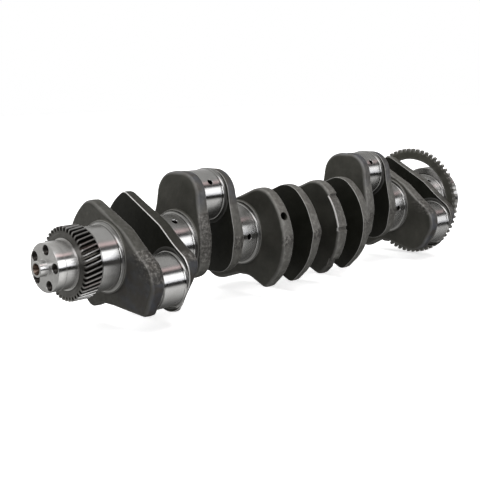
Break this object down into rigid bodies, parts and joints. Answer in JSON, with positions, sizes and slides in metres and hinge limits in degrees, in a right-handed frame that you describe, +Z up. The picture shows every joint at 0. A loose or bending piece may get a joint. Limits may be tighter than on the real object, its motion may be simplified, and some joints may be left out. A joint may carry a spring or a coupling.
{
  "type": "crankshaft",
  "caption": "Forged crankshaft of an inline-six engine with ground journals, counterweights, a helical crank gear, a toothed speed ring and a bolted rear flange.",
  "frame": {"origin": "centre of main journal 4, the middle main journal, on the axis the shaft turns about", "axes": "+X along the shaft from the nose to the rear flange, +Z up along the throw of crankpins 2 and 5"},
  "size_m": [0.852, 0.185, 0.1894],
  "materials": {
    "forged_steel": "as forged and shot blasted, dark grey, rough",
    "ground_steel": "ground and polished to a mirror round the shaft",
    "machined_steel": "turned, with fine tool marks, satin",
    "gear_steel": "hobbed and hardened, mid grey, oiled",
    "tone_wheel_steel": "pressed sheet steel, dull olive grey",
    "bright_steel": "bright hardware steel"
  },
  "bodies": {
    "root": {"crank_nose": "machined_steel", "crank_gear": "gear_steel", "gear_key": "bright_steel", "main_journal_1": "ground_steel", "main_journal_2": "ground_steel", "main_journal_3": "ground_steel", "main_journal_4": "ground_steel", "main_journal_5": "ground_steel", "main_journal_6": "ground_steel", "main_journal_7": "ground_steel", "crankpin_1": "ground_steel", "crankpin_2": "ground_steel", "crankpin_3": "ground_steel", "crankpin_4": "ground_steel", "crankpin_5": "ground_steel", "crankpin_6": "ground_steel", "web_1": "forged_steel", "web_2": "forged_steel", "web_3": "forged_steel", "web_4": "forged_steel", "web_5": "forged_steel", "web_6": "forged_steel", "web_7": "forged_steel", "web_8": "forged_steel", "web_9": "forged_steel", "web_10": "forged_steel", "web_11": "forged_steel", "web_12": "forged_steel", "rear_flange": "machined_steel", "tone_wheel": "tone_wheel_steel", "tone_wheel_screws": "bright_steel", "flywheel_dowel": "bright_steel"}
  },
  "joints": []
}
